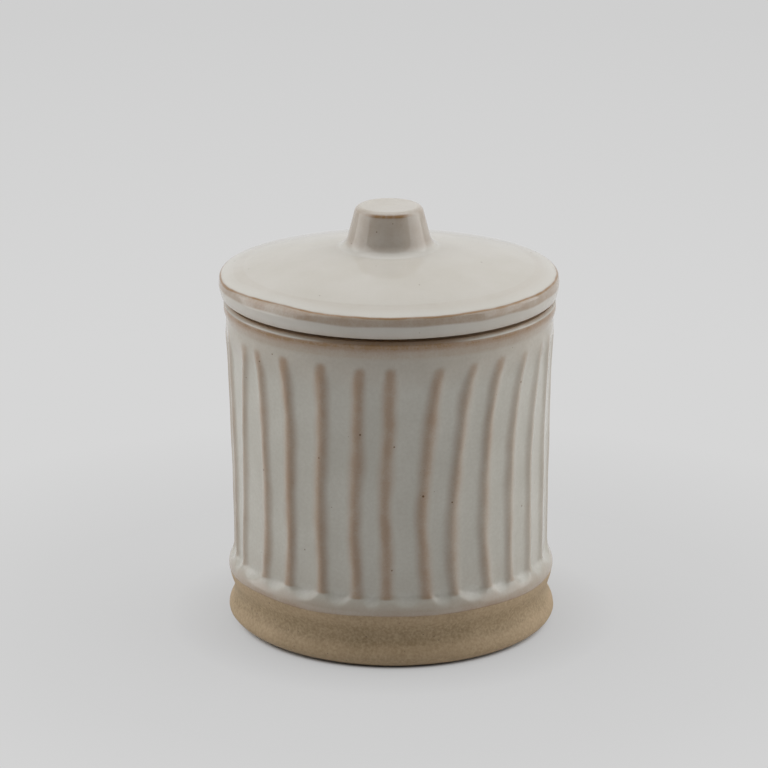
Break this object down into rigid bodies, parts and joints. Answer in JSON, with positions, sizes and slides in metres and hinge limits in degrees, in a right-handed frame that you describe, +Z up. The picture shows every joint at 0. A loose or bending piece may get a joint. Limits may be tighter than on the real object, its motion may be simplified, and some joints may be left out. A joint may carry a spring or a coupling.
{
  "type": "storage jar",
  "caption": "Round lidded storage jar with a hand-fluted wall, a bare turned foot and a lift-off lid with a tapered knob.",
  "frame": {"origin": "centre of the foot ring's bearing face, on the jar's axis", "axes": "+Z up along the jar's axis; -Y is the side that faces the viewer in the picture, with +X to the viewer's right"},
  "size_m": [0.1, 0.1, 0.1265],
  "materials": {
    "jar_glaze": "gloss",
    "lid_glaze": "gloss"
  },
  "bodies": {
    "jar": {"jar": "jar_glaze"},
    "lid": {"lid": "lid_glaze"}
  },
  "joints": [
    {"name": "lid_lift", "type": "slide", "parent": "jar", "child": "lid", "axis": [0, 0, 1], "range_m": [0, 0.08]}
  ]
}
